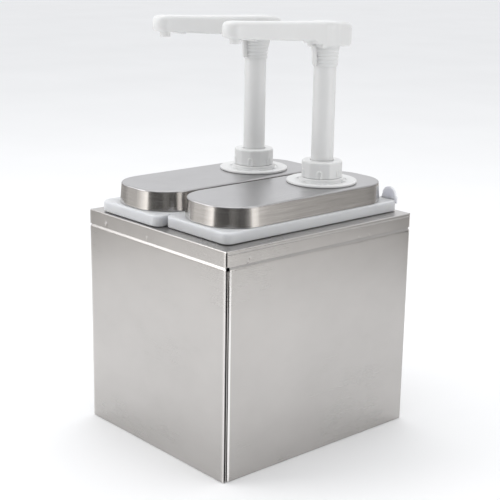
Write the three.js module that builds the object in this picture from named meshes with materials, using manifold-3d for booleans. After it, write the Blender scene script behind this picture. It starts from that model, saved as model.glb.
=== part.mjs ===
// A counter-top condiment dispenser: a sheet-steel housing that holds two lift-out jars side by side,
// each with a pressed steel lid and a plunger pump. Millimetres, +Z up, spouts towards -Y, the origin
// at the centre of the housing's base.
import * as THREE from 'three';
import { mergeVertices } from 'three/addons/utils/BufferGeometryUtils.js';
import Module from 'manifold-3d';

const wasm = await Module();
wasm.setup();

// Housing
const housing = { width: 226, depth: 260, height: 236 };
const sheet = 1;
const fit = 0.3; // clearance left between neighbouring pieces
const beyond = 1; // how far a cutter reaches past the piece it cuts
const frameDrop = 15.7; // how far the top frame's flaps come down
const stepIn = 1.4; // how far a panel's top steps in behind those flaps
const stepRise = 3; // height of that step
const seam = 1.2; // open slit at each upright corner
const opening = { width: 185, length: 220, corner: 4, lip: 7 };
const fold = { length: 5.5, reach: 11 }; // a side panel's folded edge: along Y, and behind the front panel
const tray = { height: 12, inFromEnds: fold.length + 0.5 };

// Jars and lids, measured up or down from the top of the housing
const top = housing.height;
const jarPitch = 97.5;
const jarStagger = { left: -4.5, right: 5.5 }; // each jar stands where it was pushed, along Y
const jar = { width: 84, length: 207, corner: 20, depth: 185, wall: 2.5 };
const jarFoot = { inset: 8, rise: 4.5, middle: 3.5 }; // the jar's bevelled foot, and its inset halfway up
const collar = { width: 96.5, length: 243, corner: 8, height: 12.2, shoulder: 3.5 };
const neck = { width: 84, length: 222, corner: 34, top: 20 };
const lug = { width: 22, top: 25.5, thick: 3.4, crown: 9, overhang: 1.5, sunk: 2, behind: 0.5 };
const lid = { width: 94, length: 233, corner: 39, bottom: 12.7, top: 33.4 };
// a lid's [height below or above, inset] outside, from the foot of the skirt and down from the deck
const lidSkirt = { foot: [[0, 0], [1.5, 0.2]], shoulder: [[3, 1.5], [0.8, 2.6], [0, 4.4]] };

// Pump, on its own upright axis, behind the middle of the jar
const pumpBack = 51.5;
const disc = { radius: 37.5, bottom: lid.top + fit, thick: 2.4, edge: 1.2, facets: 28 };
const discRing = { radius: 23.3, top: 39.2 }; // the raised ring at the middle of the disc
const slots = { count: 6, from: 0.8, to: 3.4, first: 0.18, length: 0.245 }; // angles in half turns
const barrel = { radius: 17, bore: 14.5, head: 19, bottom: -100, shoulder: discRing.top + fit, top: 52 };
const nut = { radius: 21.5, bottom: barrel.shoulder, top: 57, bore: 19.3, roof: 2.5, chamfer: 2, sides: 12 };
const boss = { count: 6, first: 8.5, width: 4, height: 8, root: 2.2, proud: 0.5 }; // first in degrees
const stem = { radius: 11.8, bore: 8, top: 179.6, lip: [7.2, 10] };
const guide = { depth: 10, slack: 0.3 };
const ring = { radius: 22, height: 8, slack: 0.25 };
const piston = { radius: 13.9, bottom: 22, floor: 28, top: 38, port: 4, seat: 3.5 };
const seal = { groove: [4, 8], deep: 2, height: 3.4, slack: 0.25, squeeze: 0.1 };
const foot = { flange: 17, flangeThick: 7.5, plug: 14.2, plugTop: 12.5, port: 4, spigot: 6, spigotDrop: 23 };
const cage = { pocket: 1.5, floor: 1.5, roof: 10.5, cone: 2 }; // the inlet ball's room in the foot valve
const ballLip = 1; // how far a caging lip reaches in over its ball
const dipTube = { radius: 8, bore: 6.3, bottom: 11 - jar.depth };
const ball = { inlet: 6, inletRise: 2.9, outlet: 5.5, outletRise: 0.7, round: 10, rings: 7 };
const spring = { radius: 11.2, wire: 0.9, turns: 9, seat: 12.2, closedCoil: 2.2, stepsPerTurn: 8 };
const head = { back: 28, tip: 137, tail: 12.4, hub: 14.6, spoutHalf: 11, bottom: 175.5, corner: 3 };
const headTaper = 30; // where the tail has narrowed into the spout, forward of the stem
const headSocket = { bottom: 155.6, depth: 24.5, cone: 6, shoulder: 1 };
const rib = { count: 5, pitch: 3.6, land: 0.9, low: 12.9, high: 13.5, grow: 0.45, top: 14.8 };
const webThick = 3;
// [Y, height above the socket's foot] round the webs before and behind the socket
const webs = [
  [-19.5, 21], [-19.5, 18.5], [-17.8, 8], [-17.5, 2],
  [12.4, 1], [13.4, 3.4], [16.3, 8.4], [19.6, 17], [19.6, 21],
];
const passage = { radius: 4.5, height: 190, climb: 7, outlet: 4.3, outletHeight: 14, outletSunk: 6 };
const nozzle = { forward: 124, radius: 5.3, bottom: 184.4, bore: 2.7, seat: 189.2, sunk: 1, edge: 0.5 };
const nozzleNeck = { radius: 4, height: 5 };

const turn = 16; // facets round a turned piece

const steel = { color: 0xbdbab6, roughness: 0.32, metalness: 1 };
const polymer = { color: 0xf1f1ef, roughness: 0.38, metalness: 0 };
const jarPlastic = { color: 0xdcdde3, roughness: 0.5, metalness: 0 };
const sealRubber = { color: 0x2b2b2c, roughness: 0.8, metalness: 0 };

// Turns a closed three.js geometry into a solid that can be joined and cut.
function solid(geometry) {
  geometry.deleteAttribute('normal');
  geometry.deleteAttribute('uv');
  const merged = mergeVertices(geometry, 1e-4);
  const index = Array.from(merged.index.array);
  const triVerts = [];
  for (let i = 0; i < index.length; i += 3) {
    const [a, b, c] = index.slice(i, i + 3);
    if (a !== b && b !== c && c !== a) triVerts.push(a, b, c);
  }
  const vertProperties = new Float32Array(merged.attributes.position.array);
  return new wasm.Manifold(new wasm.Mesh({ numProp: 3, vertProperties, triVerts: new Uint32Array(triVerts) }));
}

function mesh(name, body, finish) {
  const { vertProperties, triVerts } = body.getMesh();
  const geometry = new THREE.BufferGeometry();
  geometry.setAttribute('position', new THREE.BufferAttribute(new Float32Array(vertProperties), 3));
  geometry.setIndex(Array.from(triVerts));
  geometry.computeVertexNormals();
  const result = new THREE.Mesh(geometry, new THREE.MeshStandardMaterial(finish));
  result.name = name;
  return result;
}

const joined = (parts) => parts.reduce((whole, part) => whole.add(part));

function block([x0, x1], [y0, y1], [z0, z1]) {
  const geometry = new THREE.BoxGeometry(x1 - x0, y1 - y0, z1 - z0);
  return solid(geometry.translate((x0 + x1) / 2, (y0 + y1) / 2, (z0 + z1) / 2));
}

// Revolves [radius, height] points about Z; a profile off the axis closes on itself.
function turned(points, facets = turn) {
  const closed = points[0][0] > 0 ? [...points, points[0]] : points;
  const profile = closed.map(([radius, height]) => new THREE.Vector2(radius, height));
  return solid(new THREE.LatheGeometry(profile, facets).rotateX(Math.PI / 2));
}

function prism(shape, bottom, height, curveSegments = 3) {
  const geometry = new THREE.ExtrudeGeometry(shape, { depth: height, bevelEnabled: false, curveSegments });
  return solid(geometry.translate(0, 0, bottom));
}

function roundedRectangle({ width, length, corner }) {
  const x = width / 2 - corner;
  const y = length / 2 - corner;
  const quarter = Math.PI / 2;
  return new THREE.Shape()
    .absarc(x, y, corner, 0, quarter)
    .absarc(-x, y, corner, quarter, 2 * quarter)
    .absarc(-x, -y, corner, 2 * quarter, 3 * quarter)
    .absarc(x, -y, corner, 3 * quarter, 4 * quarter);
}

// A rounded rectangle carried up through [height, inset] levels, each one smaller by its inset all round.
function stacked(outline, levels, curveSegments = 3) {
  const steps = levels.length - 1;
  const options = { depth: steps, steps, bevelEnabled: false, curveSegments };
  const geometry = new THREE.ExtrudeGeometry(roundedRectangle(outline), options);
  const position = geometry.attributes.position;
  for (let i = 0; i < position.count; i += 1) {
    const [height, inset] = levels[Math.round(position.getZ(i))];
    const x = position.getX(i) * (1 - (2 * inset) / outline.width);
    const y = position.getY(i) * (1 - (2 * inset) / outline.length);
    position.setXYZ(i, x, y, height);
  }
  return solid(geometry);
}

// The outline of a bent sheet: a path of [u, v] points, thickened towards the path's left.
function bentSheet(path) {
  const points = path.map(([u, v]) => new THREE.Vector2(u, v));
  const normals = points.slice(1).map((point, i) => {
    const along = point.clone().sub(points[i]).normalize();
    return new THREE.Vector2(-along.y, along.x);
  });
  const inner = points.map((point, i) => {
    const before = normals[Math.max(i - 1, 0)];
    const after = normals[Math.min(i, normals.length - 1)];
    const middle = before.clone().add(after);
    return point.clone().add(middle.multiplyScalar((2 * sheet) / middle.lengthSq()));
  });
  return new THREE.Shape([...points, ...inner.reverse()]);
}

// A front or rear panel: flat, with its top stepped in behind the frame.
function endPanel() {
  const face = housing.depth / 2;
  const stepTop = top - frameDrop;
  const run = bentSheet([
    [0, -face],
    [stepTop - stepRise, -face],
    [stepTop, -face + stepIn],
    [top - sheet - fit, -face + stepIn],
  ]);
  const geometry = new THREE.ExtrudeGeometry(run, { depth: housing.width, bevelEnabled: false });
  const panel = solid(geometry.translate(0, 0, -housing.width / 2).rotateY(-Math.PI / 2));
  const shoulder = housing.width / 2 - sheet - stepIn + fit;
  const above = [stepTop - stepRise - fit, top];
  const deep = [-face - beyond, -face + stepIn + sheet + beyond];
  return panel
    .subtract(block([shoulder, housing.width], deep, above))
    .subtract(block([-housing.width, -shoulder], deep, above));
}

// A side panel: its top is stepped in like the ends', and each upright edge folds in behind them.
function sidePanel() {
  const face = housing.width / 2;
  const stepTop = top - frameDrop;
  const flat = housing.depth / 2 - fold.length;
  const run = bentSheet([
    [face, 0],
    [face, stepTop - stepRise],
    [face - stepIn, stepTop],
    [face - stepIn, top - sheet - fit],
  ]);
  const geometry = new THREE.ExtrudeGeometry(run, { depth: 2 * flat, bevelEnabled: false });
  const wall = solid(geometry.translate(0, 0, -flat).rotateX(Math.PI / 2));
  const foldFace = -housing.depth / 2 + sheet + seam;
  const edgeRun = bentSheet([
    [face - fold.reach, foldFace],
    [face - seam, foldFace],
    [face - seam, foldFace + sheet],
    [face, foldFace + sheet + seam],
    [face, -flat + sheet / 2],
  ]);
  const edge = prism(edgeRun, 0, stepTop - stepRise - fit);
  return joined([wall, edge, edge.mirror([0, 1, 0])]);
}

// The base is a shallow tray that closes the housing's foot.
function baseTray() {
  const x = housing.width / 2 - sheet - fit;
  const y = housing.depth / 2 - tray.inFromEnds;
  const inside = block([-x + sheet, x - sheet], [-y + sheet, y - sheet], [sheet, tray.height + beyond]);
  return block([-x, x], [-y, y], [0, tray.height]).subtract(inside);
}

// One folded sheet: the deck that the jars hang in, flaps down the outside, a lip round the opening.
function topFrame() {
  const [x, y] = [housing.width / 2, housing.depth / 2];
  const flaps = [top - frameDrop + fit, top];
  const deck = block([-x, x], [-y, y], [top - sheet, top]);
  const sideFlap = block([x - sheet, x], [-y + sheet + seam, y - sheet - seam], flaps);
  const endFlap = block([-x, x], [-y, -y + sheet], flaps);
  const hole = { width: opening.width, length: opening.length, corner: opening.corner };
  const rim = { width: hole.width + 2 * sheet, length: hole.length + 2 * sheet, corner: hole.corner + sheet };
  const lip = prism(roundedRectangle(rim), top - opening.lip, opening.lip, 1);
  const cut = prism(roundedRectangle(hole), top - opening.lip - beyond, opening.lip + 2 * beyond, 1);
  const flapsAll = [sideFlap, sideFlap.mirror([1, 0, 0]), endFlap, endFlap.mirror([0, 1, 0])];
  return joined([deck, ...flapsAll, lip]).subtract(cut);
}

// The jar hangs by its hollow collar; inside the collar a neck stands up into the lid.
function jarShell() {
  const { wall } = jar;
  const { inset, rise, middle } = jarFoot;
  const base = top - jar.depth;
  const shoulder = top + collar.height;
  const turnIn = shoulder - collar.shoulder;
  const round = 1;
  const overlap = 1;
  const outside = joined([
    stacked(jar, [[base, inset], [base + rise, middle], [top + overlap, 0]]),
    stacked(collar, [[top + fit, 0], [turnIn, 0], [shoulder - round, round], [shoulder, collar.shoulder]], 1),
    stacked(neck, [[shoulder - overlap, 0], [top + neck.top, 0]]),
  ]);
  const inside = joined([
    stacked(jar, [[base + wall, inset + wall], [base + rise + wall, middle + wall], [top + 2 * wall, wall]]),
    stacked(collar, [[top + fit + wall, wall], [turnIn, wall], [shoulder - wall, 2 * wall]], 1),
    stacked(neck, [[shoulder - wall - overlap, wall], [top + neck.top + beyond, wall]]),
  ]);
  return outside.subtract(inside).add(jarLug());
}

// An upright thumb lug on the collar's rear right corner.
function jarLug() {
  const edge = collar.width / 2;
  const root = collar.height - lug.sunk;
  const centre = edge - lug.width / 2 + lug.overhang;
  const crown = lug.top - lug.crown;
  const arch = new THREE.Shape()
    .moveTo(edge, root)
    .lineTo(edge - lug.width, root)
    .absarc(centre, crown, lug.crown, Math.PI, 0, true);
  const options = { depth: lug.thick, bevelEnabled: false, curveSegments: 4 };
  const geometry = new THREE.ExtrudeGeometry(arch, options).rotateX(Math.PI / 2);
  const plate = solid(geometry.translate(0, collar.length / 2 - lug.behind, top));
  return plate.intersect(prism(roundedRectangle(collar), top, 2 * lug.top, 2));
}

// A drawn lid: a skirt that leans in, a rounded shoulder and a hole for the pump.
function lidShell() {
  const low = top + lid.bottom;
  const deck = top + lid.top;
  const skirt = lidSkirt.foot.map(([rise, inset]) => [low + rise, inset]);
  const shoulder = lidSkirt.shoulder.map(([drop, inset]) => [deck - drop, inset]);
  const outside = stacked(lid, [...skirt, ...shoulder]);
  const inside = stacked(lid, [
    [low - beyond, sheet],
    ...skirt.slice(1).map(([height, inset]) => [height, inset + sheet]),
    ...shoulder.map(([height, inset], i) => [height - (sheet * Math.min(i + 1, 2)) / 2, inset + sheet]),
  ]);
  const bore = barrel.radius + 2 * fit;
  const pumpHole = turned([[0, low], [bore, low], [bore, deck + beyond], [0, deck + beyond]]);
  return outside.subtract(inside).subtract(pumpHole.translate([0, pumpBack, 0]));
}

// The round flange that seats the pump on the lid, pierced by arc slots round its ring.
function pumpFlange() {
  const low = top + disc.bottom;
  const high = low + disc.thick;
  const bore = barrel.radius + fit;
  const plate = turned([
    [bore, low],
    [disc.radius, low],
    [disc.radius, high - disc.edge / 2],
    [disc.radius - disc.edge, high],
    [discRing.radius, high - fit],
    [discRing.radius, top + discRing.top],
    [bore, top + discRing.top],
  ], disc.facets);
  const cuts = [...Array(slots.count).keys()].map((i) => {
    const start = ((2 * i) / slots.count + slots.first) * Math.PI;
    const end = start + slots.length * Math.PI;
    const slot = new THREE.Shape()
      .absarc(0, 0, discRing.radius + slots.to, start, end)
      .absarc(0, 0, discRing.radius + slots.from, end, start, true);
    return prism(slot, low - beyond, disc.thick + 2 * beyond, 2);
  });
  return cuts.reduce((whole, cut) => whole.subtract(cut), plate);
}

// The nut: flat-sided outside with finger bosses round its foot.
function collarNut() {
  const low = top + nut.bottom;
  const high = top + nut.top;
  const roof = high - nut.roof;
  const hole = stem.radius + 0.5;
  const cap = turned([
    [nut.bore, low],
    [nut.radius, low],
    [nut.radius, high - nut.chamfer],
    [nut.radius - nut.chamfer, high],
    [hole, high],
    [hole, roof],
    [nut.bore, roof],
  ], nut.sides);
  const inside = turned([
    [0, low], [nut.bore, low], [nut.bore, roof], [hole, roof], [hole, high + beyond], [0, high + beyond],
  ]);
  const across = [-boss.width / 2, boss.width / 2];
  const one = block([nut.radius - boss.root, nut.radius + boss.proud], across, [low, low + boss.height]);
  const pitch = 360 / boss.count;
  const bosses = [...Array(boss.count).keys()].map((i) => one.rotate([0, 0, boss.first + pitch * i]));
  return joined([cap, ...bosses]).subtract(inside);
}

// The guide bush closes the barrel's mouth and steers the stem.
function stemGuide() {
  const high = top + nut.top - nut.roof - fit;
  const seat = top + barrel.top + fit;
  const bore = stem.radius + guide.slack;
  return turned([
    [bore, seat - guide.depth],
    [barrel.bore - guide.slack, seat - guide.depth],
    [barrel.bore - guide.slack, seat],
    [barrel.head - guide.slack, seat],
    [barrel.head - guide.slack, high],
    [bore, high],
  ]);
}

function pumpBarrel() {
  const shoulder = top + barrel.shoulder;
  return turned([
    [barrel.bore, top + barrel.bottom],
    [barrel.radius, top + barrel.bottom],
    [barrel.radius, shoulder],
    [barrel.head, shoulder],
    [barrel.head, top + barrel.top],
    [barrel.bore, top + barrel.top],
  ]);
}

function lockRing() {
  const high = top + lid.top - sheet - fit;
  return tube({ radius: ring.radius, bore: barrel.radius + ring.slack }, high - ring.height, high);
}

// The foot valve plugs the barrel; its ball sits on a cone and is caged by a lip above.
function footValve() {
  const seat = top + barrel.bottom - fit;
  return turned([
    [foot.port, seat - foot.spigotDrop],
    [foot.spigot, seat - foot.spigotDrop],
    [foot.spigot, seat - foot.flangeThick],
    [foot.flange, seat - foot.flangeThick],
    [foot.flange, seat],
    [foot.plug, seat],
    [foot.plug, seat + foot.plugTop],
    [ball.inlet - ballLip, seat + foot.plugTop],
    [ball.inlet - ballLip, seat + cage.roof],
    [ball.inlet + cage.pocket, seat + cage.roof],
    [ball.inlet + cage.pocket, seat + cage.floor],
    [foot.port, seat - cage.cone],
  ]);
}

function sphere(radius, height) {
  const geometry = new THREE.SphereGeometry(radius, ball.round, ball.rings);
  return solid(geometry.rotateX(Math.PI / 2).translate(0, 0, height));
}

function tube({ radius, bore }, low, high) {
  return turned([[bore, low], [radius, low], [radius, high], [bore, high]]);
}

// A helix with a flat turn at each end.
class SpringPath extends THREE.Curve {
  constructor(low, high) {
    super();
    this.low = low;
    this.high = high;
  }

  getPoint(t, target = new THREE.Vector3()) {
    const { radius, wire, turns } = spring;
    const closed = spring.closedCoil * wire; // height of a flat end turn
    const angle = 2 * Math.PI * turns * t;
    const climb = THREE.MathUtils.clamp((t * turns - 1) / (turns - 2), 0, 1);
    const coil = closed * (Math.min(t * turns, 1) + Math.max((t - 1) * turns + 1, 0));
    const height = this.low + coil + (this.high - this.low - 2 * closed) * climb;
    return target.set(radius * Math.cos(angle), radius * Math.sin(angle), height);
  }
}

function returnSpring() {
  const low = top + barrel.bottom + spring.seat + fit + spring.wire;
  const high = top + piston.bottom - fit - spring.wire;
  const wire = new THREE.Shape().absarc(0, 0, spring.wire, 0, 2 * Math.PI);
  const steps = spring.turns * spring.stepsPerTurn;
  const options = { extrudePath: new SpringPath(low, high), steps, curveSegments: 3 };
  return solid(new THREE.ExtrudeGeometry(wire, { ...options, bevelEnabled: false }));
}

// The piston: a ported floor with a ball seat, a socket for the stem and a groove for the seal.
function pistonBody() {
  const low = top + piston.bottom;
  const floor = top + piston.floor;
  const high = top + piston.top;
  const [grooveLow, grooveHigh] = seal.groove;
  return turned([
    [piston.port, low],
    [piston.radius, low],
    [piston.radius, low + grooveLow],
    [piston.radius - seal.deep, low + grooveLow],
    [piston.radius - seal.deep, low + grooveHigh],
    [piston.radius, low + grooveHigh],
    [piston.radius, high],
    [stem.radius + fit, high],
    [stem.radius + fit, floor],
    [piston.port + piston.seat, floor],
    [piston.port, floor - piston.seat],
  ]);
}

function pistonSeal() {
  const low = top + piston.bottom + seal.groove[0] + fit;
  const bore = piston.radius - seal.deep + seal.slack;
  return tube({ radius: barrel.bore - seal.squeeze, bore }, low, low + seal.height);
}

// The hollow stem, with a lip near its foot that keeps the outlet ball in.
function pumpStem() {
  const low = top + piston.floor + fit;
  const [lipLow, lipHigh] = stem.lip;
  return turned([
    [stem.bore, low],
    [stem.radius, low],
    [stem.radius, top + stem.top],
    [stem.bore, top + stem.top],
    [stem.bore, low + lipHigh],
    [ball.outlet - ballLip, low + lipHigh],
    [ball.outlet - ballLip, low + lipLow],
    [stem.bore, low + lipLow],
  ]);
}

// The head seen from the side: hub, stepped throat and a spout that climbs slightly to its round tip.
// Each point is [Y from the stem, height].
function headSide() {
  const crown = [[10, 201.4], [-20, 202.2], [-62, 203.4], [-nozzle.forward, 206]];
  const shape = new THREE.Shape();
  shape.moveTo(head.back, 183);
  shape.lineTo(head.back, 198.5);
  shape.splineThru(crown.map(([y, z]) => new THREE.Vector2(y, z)));
  shape.quadraticCurveTo(-head.tip, 206.4, -head.tip, 198);
  shape.quadraticCurveTo(-head.tip, 190.2, -nozzle.forward - 4, nozzle.seat);
  shape.lineTo(-nozzle.forward + 8, nozzle.seat - 0.6);
  shape.lineTo(-62, 184.8);
  shape.lineTo(-26, 183.4);
  shape.lineTo(-22, 180);
  shape.lineTo(-16, 178.4);
  shape.lineTo(-15, head.bottom);
  shape.lineTo(head.back - 3, head.bottom);
  return shape;
}

// The head seen from above, without its round hub: a tail that narrows into the spout.
function headPlan() {
  const { back, tip, tail, spoutHalf, corner } = head;
  return new THREE.Shape()
    .moveTo(tail - corner, back)
    .lineTo(tail, back - corner)
    .lineTo(tail, 0)
    .lineTo(spoutHalf, -headTaper)
    .absarc(0, -tip + spoutHalf, spoutHalf, 0, -Math.PI, true)
    .lineTo(-spoutHalf, -headTaper)
    .lineTo(-tail, 0)
    .lineTo(-tail, back - corner)
    .lineTo(-tail + corner, back);
}

// Stands a [Y, height] outline up in the plane of the stem and gives it a width across X.
function upright(outline, width, bottom, curveSegments = 2) {
  const geometry = new THREE.ExtrudeGeometry(outline, { depth: width, bevelEnabled: false, curveSegments });
  return solid(geometry.rotateX(Math.PI / 2).rotateZ(Math.PI / 2).translate(-width / 2, 0, bottom));
}

// The ribbed socket under the hub, with a thin web before it and one behind.
function headNeck() {
  const low = top + headSocket.bottom;
  const high = top + head.bottom + 2;
  const rings = [...Array(rib.count).keys()].flatMap((i) => [
    [rib.high + rib.grow * i, low + rib.pitch * i],
    [rib.low + rib.grow * i, low + rib.pitch * (i + rib.land)],
  ]);
  const last = low + rib.count * rib.pitch;
  const socket = turned([[0, low], ...rings, [rib.top, last], [rib.top, high], [0, high]]);
  const outline = new THREE.Shape(webs.map(([y, z]) => new THREE.Vector2(y, z)));
  return socket.add(upright(outline, webThick, low));
}

function pumpHead() {
  const blank = { low: top + head.bottom - 5, height: 60, width: 40 };
  const high = blank.low + blank.height;
  const hub = turned([[0, blank.low], [head.hub, blank.low], [head.hub, high], [0, high]]);
  const plan = prism(headPlan(), blank.low, blank.height, 4).add(hub);
  const shell = upright(headSide(), blank.width, top).intersect(plan);
  return joined([shell, headNeck()])
    .subtract(stemSocket())
    .subtract(spoutPassage());
}

// The socket the stem is pressed into, narrowing above the stem's end.
function stemSocket() {
  const low = top + headSocket.bottom;
  const bore = stem.radius + fit;
  const shoulder = low + headSocket.depth;
  const end = shoulder + headSocket.cone;
  return turned([
    [0, low - beyond], [bore, low - beyond], [bore, shoulder], [stem.bore - headSocket.shoulder, end], [0, end],
  ]);
}

// The way out: a sloping channel along the spout and a mouth down through its underside.
function spoutPassage() {
  const { radius, climb, outlet, outletHeight } = passage;
  const slope = THREE.MathUtils.radToDeg(Math.atan2(climb, nozzle.forward));
  const reach = nozzle.forward + radius / 2;
  const channel = turned([[0, 0], [radius, 0], [radius, reach], [0, reach]], 8);
  const mouth = turned([[0, 0], [outlet, 0], [outlet, outletHeight], [0, outletHeight]], 12);
  return channel
    .rotate([90 - slope, 0, 0])
    .translate([0, 0, top + passage.height])
    .add(mouth.translate([0, -nozzle.forward, top + nozzle.seat - passage.outletSunk]));
}

function spoutNozzle() {
  const low = top + nozzle.bottom;
  const seat = top + nozzle.seat - nozzle.sunk;
  const shape = turned([
    [nozzle.bore, low],
    [nozzle.radius - nozzle.edge, low],
    [nozzle.radius, low + nozzle.edge],
    [nozzle.radius, seat],
    [nozzleNeck.radius, seat],
    [nozzleNeck.radius, seat + nozzleNeck.height],
    [nozzle.bore, seat + nozzleNeck.height],
  ]);
  return shape.translate([0, -nozzle.forward, 0]);
}

function housingPieces() {
  const rear = mesh('rear_panel', endPanel(), steel);
  rear.rotation.z = Math.PI;
  const left = mesh('left_panel', sidePanel(), steel);
  left.rotation.z = Math.PI;
  return [
    mesh('front_panel', endPanel(), steel),
    rear,
    left,
    mesh('right_panel', sidePanel(), steel),
    mesh('base_tray', baseTray(), steel),
    mesh('top_frame', topFrame(), steel),
  ];
}

function pumpPieces(side) {
  const footSeat = top + barrel.bottom - fit;
  const group = new THREE.Group();
  group.add(
    mesh(`${side}_pump_flange`, pumpFlange(), polymer),
    mesh(`${side}_collar_nut`, collarNut(), polymer),
    mesh(`${side}_stem_guide`, stemGuide(), polymer),
    mesh(`${side}_pump_barrel`, pumpBarrel(), polymer),
    mesh(`${side}_lock_ring`, lockRing(), polymer),
    mesh(`${side}_foot_valve`, footValve(), polymer),
    mesh(`${side}_inlet_ball`, sphere(ball.inlet, footSeat + ball.inletRise), steel),
    mesh(`${side}_dip_tube`, tube(dipTube, top + dipTube.bottom, footSeat - foot.flangeThick - fit), polymer),
    mesh(`${side}_return_spring`, returnSpring(), steel),
    mesh(`${side}_piston`, pistonBody(), polymer),
    mesh(`${side}_piston_seal`, pistonSeal(), sealRubber),
    mesh(`${side}_outlet_ball`, sphere(ball.outlet, top + piston.floor + ball.outletRise), steel),
    mesh(`${side}_pump_stem`, pumpStem(), polymer),
    mesh(`${side}_pump_head`, pumpHead(), polymer),
    mesh(`${side}_spout_nozzle`, spoutNozzle(), polymer),
  );
  group.position.y = pumpBack;
  return group;
}

function jarSet(side) {
  const group = new THREE.Group();
  group.add(
    mesh(`${side}_jar`, jarShell(), jarPlastic),
    mesh(`${side}_lid`, lidShell(), steel),
    pumpPieces(side),
  );
  group.position.set(((side === 'left' ? -1 : 1) * jarPitch) / 2, jarStagger[side], 0);
  return group;
}

const dispenser = new THREE.Group();
dispenser.add(...housingPieces(), jarSet('left'), jarSet('right'));

export default dispenser;
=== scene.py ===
import math

import bmesh
import bpy
import numpy as np
from mathutils import Matrix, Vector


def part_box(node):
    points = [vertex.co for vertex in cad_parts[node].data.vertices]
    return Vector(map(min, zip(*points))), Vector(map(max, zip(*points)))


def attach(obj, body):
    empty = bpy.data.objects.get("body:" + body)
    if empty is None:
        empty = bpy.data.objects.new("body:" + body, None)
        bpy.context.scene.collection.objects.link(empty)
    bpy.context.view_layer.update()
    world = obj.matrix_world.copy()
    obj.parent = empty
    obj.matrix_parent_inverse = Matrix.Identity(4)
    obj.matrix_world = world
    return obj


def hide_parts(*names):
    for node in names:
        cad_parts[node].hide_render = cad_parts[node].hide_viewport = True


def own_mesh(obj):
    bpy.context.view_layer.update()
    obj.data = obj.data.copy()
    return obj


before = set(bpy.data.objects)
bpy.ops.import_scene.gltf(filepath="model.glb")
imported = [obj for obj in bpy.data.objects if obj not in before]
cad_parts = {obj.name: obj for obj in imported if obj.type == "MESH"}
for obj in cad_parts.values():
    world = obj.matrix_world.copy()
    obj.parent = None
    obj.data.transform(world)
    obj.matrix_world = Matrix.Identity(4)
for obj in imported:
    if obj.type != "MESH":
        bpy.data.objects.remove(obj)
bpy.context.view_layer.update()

mm = 0.001
sides = ("left", "right")
weld = 2e-6  # metres; closer points become one
tiny = 0.001  # millimetres; lengths this close count as equal


def boxOf(node):
    # lowest and highest corner of a CAD node, in millimetres
    low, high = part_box(node)
    return np.array(low) * 1000, np.array(high) * 1000


frameLow, frameHigh = boxOf("top_frame")
deckTop = frameHigh[2]  # the heights of jars, lids and pumps are counted from here
faceX, faceY = frameHigh[0], frameHigh[1]
flapFoot = frameLow[2]


def middleOf(node):
    # half way between a node's corners in plan, at the deck's height
    low, high = boxOf(node)
    return np.array([*(low[:2] + high[:2]) / 2, deckTop])


# a shell is (points, faces); profiles, outlines and paths are rows of points, all in millimetres
def gridFaces(rows, columns, closedRows, closedColumns):
    # quads (i, j), (i, j+1), (i+1, j+1), (i+1, j); a closed direction joins its last line to its first
    i = np.arange(rows if closedRows else rows - 1)[:, None]
    j = np.arange(columns if closedColumns else columns - 1)[None, :]
    up, on = (i + 1) % rows, (j + 1) % columns
    quads = np.broadcast_arrays(i * columns + j, i * columns + on, up * columns + on, up * columns + j)
    return np.stack(quads, -1).reshape(-1, 4)


def gridShell(points, closedRows=False, closedColumns=False):
    # points (row, column, xyz) with a face between every four neighbours
    rows, columns = points.shape[:2]
    return points.reshape(-1, 3), gridFaces(rows, columns, closedRows, closedColumns)


def softPath(points, radii, steps=5, closed=False):
    # each corner B becomes (1-t)^2 A + 2t(1-t) B + t^2 C, with A and C a radius away along its sides,
    # and at most half way
    points = np.asarray(points, float)
    if closed:
        points = np.vstack([points[-1:], points, points[:1]])
    radii = np.broadcast_to(radii, len(points) - 2)
    t = np.linspace(0, 1, steps)[:, None]
    rows = []
    for before, corner, after, radius in zip(points, points[1:], points[2:], radii):
        back, on = before - corner, after - corner
        a = corner + back * min(radius / np.linalg.norm(back), 0.5)
        c = corner + on * min(radius / np.linalg.norm(on), 0.5)
        rows.append((1 - t) ** 2 * a + 2 * t * (1 - t) * corner + t ** 2 * c)
    return np.vstack(rows if closed else [points[:1], *rows, points[-1:]])


def densify(path, spacing):
    # keeps the path's points and adds others between them, at even distances along it
    path = np.asarray(path, float)
    along = np.r_[0, np.cumsum(np.linalg.norm(np.diff(path, axis=0), axis=1))]
    wanted = np.unique(np.round(np.r_[along, np.arange(0, along[-1], spacing)], 2))
    return np.stack([np.interp(wanted, along, column) for column in path.T], -1)


def roundedOutline(halfWidth, halfLength, radii, cornerSteps, sideSteps):
    # four quarter circles, centre + r (cos a, sin a), joined by straight sides, anticlockwise from +X
    radii = np.broadcast_to(radii, 4)
    turns = np.linspace(0, np.pi / 2, cornerSteps + 1)
    signs = ((1, 1), (-1, 1), (-1, -1), (1, -1))
    arcs = [
        np.array([sx * (halfWidth - r), sy * (halfLength - r)])
        + r * np.stack([np.cos(turns + k * np.pi / 2), np.sin(turns + k * np.pi / 2)], -1)
        for k, ((sx, sy), r) in enumerate(zip(signs, radii))
    ]
    between = np.linspace(0, 1, sideSteps + 1)[1:-1, None]
    straights = [a[-1] + between * (b[0] - a[-1]) for a, b in zip(arcs, arcs[1:] + arcs[:1])]
    return np.vstack([part for pair in zip(arcs, straights) for part in pair])


def stationRows(stations, centre, cornerSteps, sideSteps):
    # a rounded rectangle (half width, half length, corner radius) at each height
    rows = [
        np.column_stack([outline, np.full(len(outline), height)])
        for halfWidth, halfLength, radius, height in stations
        for outline in [roundedOutline(halfWidth, halfLength, radius, cornerSteps, sideSteps)]
    ]
    return np.stack(rows) + centre


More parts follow.
